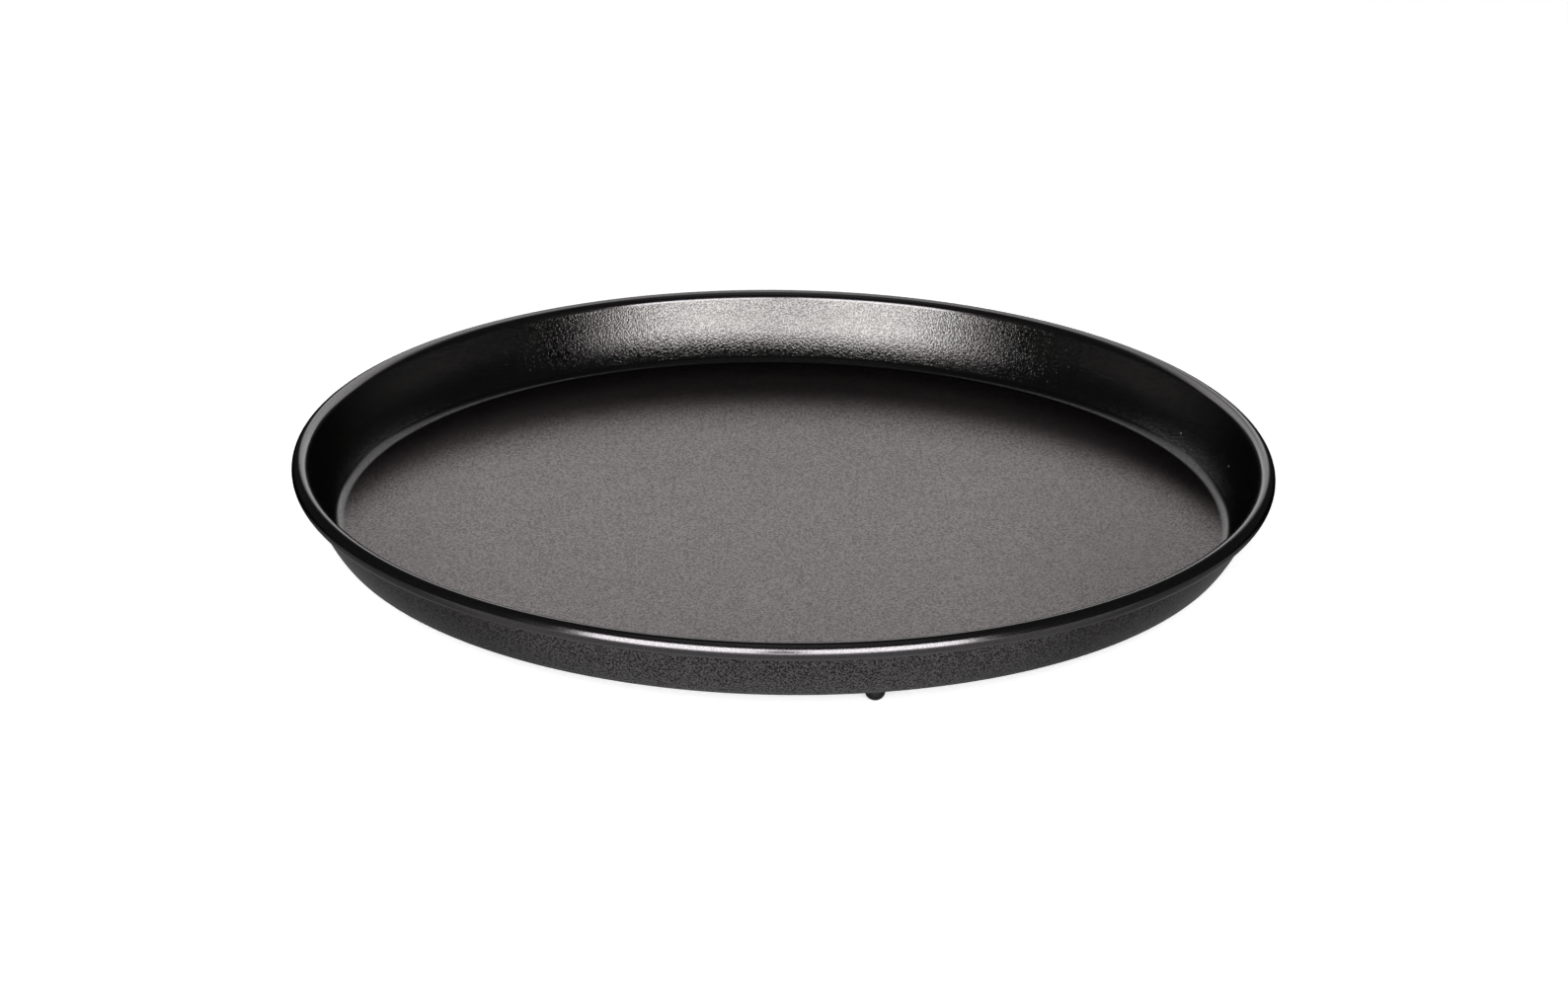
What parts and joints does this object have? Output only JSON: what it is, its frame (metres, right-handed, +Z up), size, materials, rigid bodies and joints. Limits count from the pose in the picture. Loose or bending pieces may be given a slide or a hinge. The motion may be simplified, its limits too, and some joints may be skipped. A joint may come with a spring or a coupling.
{
  "type": "microwave crisp plate",
  "caption": "Shallow round browning pan for a microwave oven: pressed sheet with a flared wall and rolled rim, an absorbing disc bonded under the floor, and short ball-ended feet.",
  "frame": {"origin": "middle of the plate in the plane that its feet stand on", "axes": "+Z up along the plate's axis, -Y towards the viewer of the picture"},
  "size_m": [0.28, 0.28, 0.0282],
  "materials": {
    "nonstick_sheet": "dark warm grey non-stick coating on aluminium, satin, with a fine grain and tiny mineral specks",
    "absorber_rubber": "matt ferrite-filled silicone rubber",
    "foot_rubber": "black moulded silicone, slight sheen",
    "stud_metal": "bare turned aluminium"
  },
  "bodies": {
    "root": {"pan": "nonstick_sheet", "absorber": "absorber_rubber", "foot_1": "foot_rubber", "foot_2": "foot_rubber", "foot_3": "foot_rubber", "foot_stud_1": "stud_metal", "foot_stud_2": "stud_metal", "foot_stud_3": "stud_metal"}
  },
  "joints": []
}
